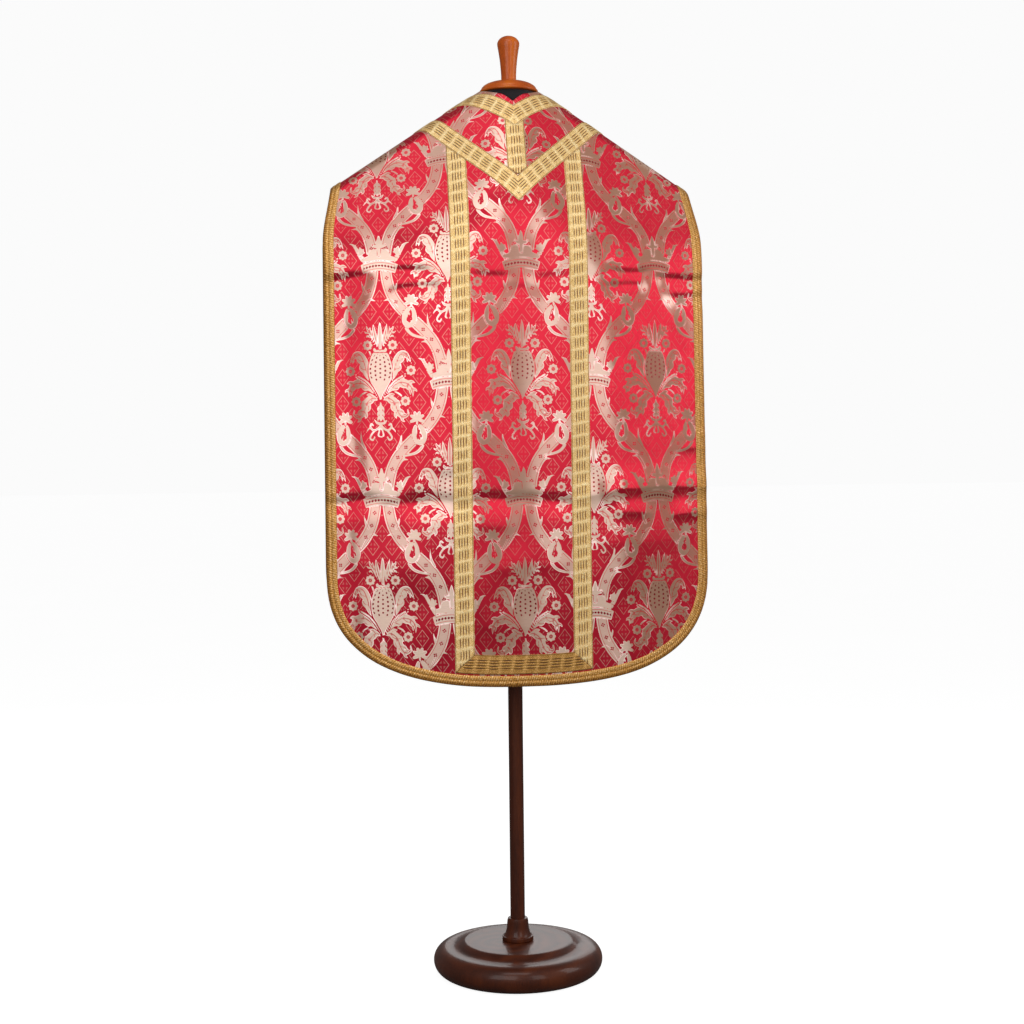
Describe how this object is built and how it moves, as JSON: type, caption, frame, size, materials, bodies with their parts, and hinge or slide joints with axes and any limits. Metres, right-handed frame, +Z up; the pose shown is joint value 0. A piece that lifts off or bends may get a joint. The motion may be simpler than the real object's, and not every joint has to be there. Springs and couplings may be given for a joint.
{
  "type": "roman chasuble on a dress form",
  "caption": "Stiff sleeveless Roman chasuble of red brocade with gold galloon, open at the sides, worn by a limbless dress form on a round wooden stand.",
  "frame": {"origin": "middle of the base's underside", "axes": "+Z up along the pole, -Y is the front of the garment, +X is on the right of someone who looks at the front"},
  "size_m": [0.7226, 0.326, 1.809],
  "materials": {
    "brocade": "satin ground with metallic pattern",
    "galloon": "metallic woven braid",
    "binding": "metallic woven braid",
    "jersey": "matt knit",
    "honey_wood": "varnished",
    "dark_wood": "varnished"
  },
  "bodies": {
    "root": {"front_panel": "brocade", "back_panel": "brocade", "neck_band_front": "galloon", "neck_band_back": "galloon", "yoke_band": "galloon", "centre_band": "galloon", "column_band_left": "galloon", "column_band_right": "galloon", "hem_band": "galloon", "back_column_band_left": "galloon", "back_column_band_right": "galloon", "back_hem_band": "galloon", "front_edge_binding": "binding", "back_edge_binding": "binding", "dress_form": "jersey", "neck_cap": "honey_wood", "finial": "honey_wood", "pole": "dark_wood", "pole_collar": "dark_wood", "base": "dark_wood"}
  },
  "joints": []
}
